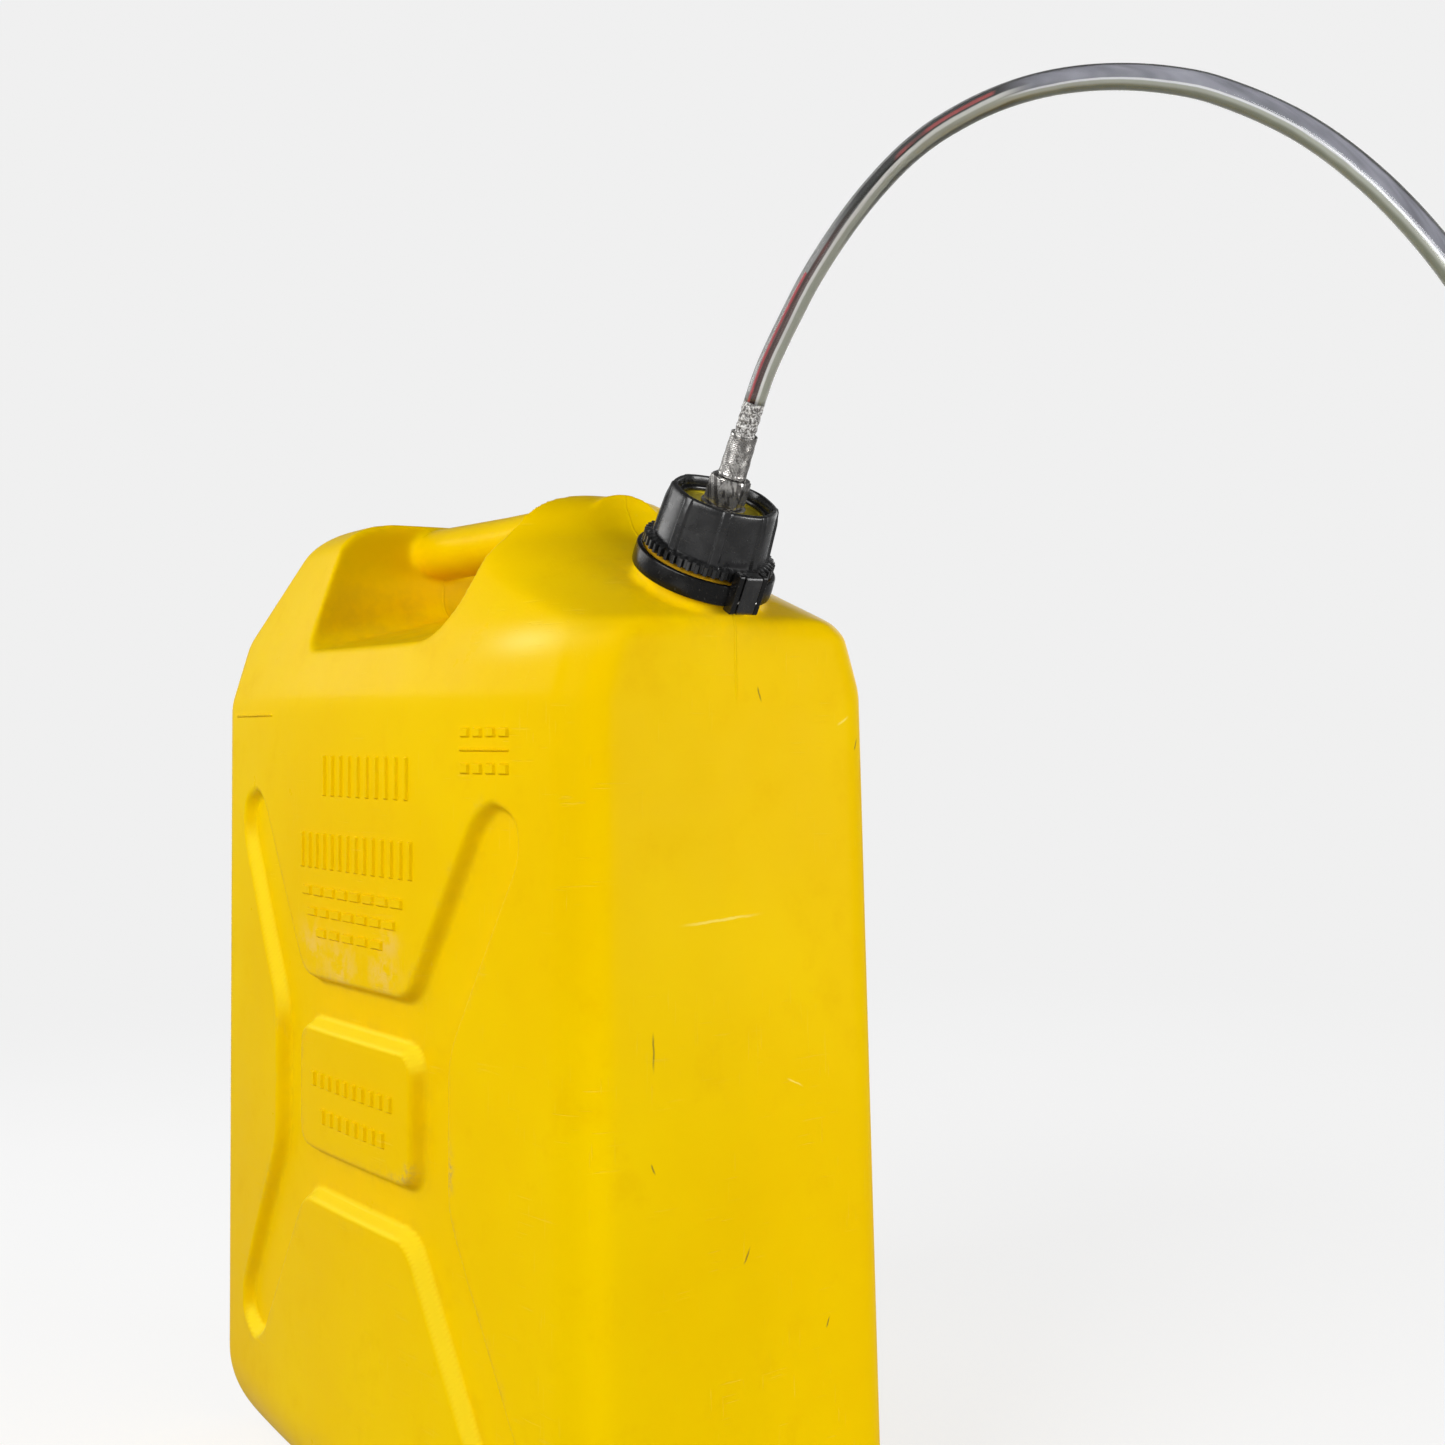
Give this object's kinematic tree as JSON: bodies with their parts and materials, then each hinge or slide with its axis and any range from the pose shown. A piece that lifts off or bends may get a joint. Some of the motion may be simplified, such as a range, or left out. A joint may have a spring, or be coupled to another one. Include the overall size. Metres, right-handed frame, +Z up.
{
  "type": "plastic jerry can with hose cap",
  "caption": "Worn yellow moulded fuel jerry can with a latched black screw cap, chrome bulkhead fitting, pickup tube and a clear coiled hose.",
  "frame": {"origin": "on the floor under the middle of the can", "axes": "+Z up, +X along the can's long side towards the neck, -Y out of the broad face with the cross channel that the picture shows"},
  "size_m": [0.6626, 0.2123, 0.5445],
  "materials": {
    "can_yellow": "semi-gloss blow-moulded, scuffed",
    "disc_yellow": "satin",
    "cap_black": "semi-gloss",
    "seal_rubber": "matte",
    "fitting_chrome": "polished",
    "knurled_steel": "knurled",
    "hose_clear": "clear",
    "pickup_plastic": "satin"
  },
  "bodies": {
    "can": {"can_body": "can_yellow", "lock_ring": "cap_black", "latch_pin": "knurled_steel", "insert_disc": "disc_yellow", "neck_gasket": "seal_rubber", "upper_washer": "seal_rubber", "bulkhead_body": "fitting_chrome", "lower_washer": "seal_rubber", "lock_nut": "fitting_chrome", "seat_washer": "seal_rubber", "hose_tail": "fitting_chrome", "hose_ferrule": "knurled_steel", "hose_on_barb": "hose_clear", "dip_tube": "pickup_plastic", "pickup_strainer": "cap_black", "hose": "hose_clear", "hose_coil": "hose_clear", "hose_tie": "cap_black", "hose_run_out": "hose_clear", "end_nut": "fitting_chrome", "end_tail": "fitting_chrome", "end_ferrule": "knurled_steel", "end_on_barb": "hose_clear"},
    "cap": {"cap_collar": "cap_black"},
    "latch": {"latch_lever": "cap_black"},
    "nut": {"swivel_nut": "fitting_chrome"}
  },
  "joints": [
    {"name": "cap_turn", "type": "hinge", "parent": "can", "child": "cap", "pos_m": [0.1454, 0, 0.397], "axis": [0.4924, 0, 0.8704], "range_deg": [0, 540]},
    {"name": "latch_press", "type": "hinge", "parent": "can", "child": "latch", "pos_m": [0.17374, 0, 0.38556], "axis": [0, 1, 0], "range_deg": [0, 10], "stiffness_Nm_per_rad": 0.05},
    {"name": "swivel_nut_turn", "type": "hinge", "parent": "can", "child": "nut", "pos_m": [0.1454, 0, 0.397], "axis": [0.4924, 0, 0.8704], "range_deg": [0, 720]}
  ]
}
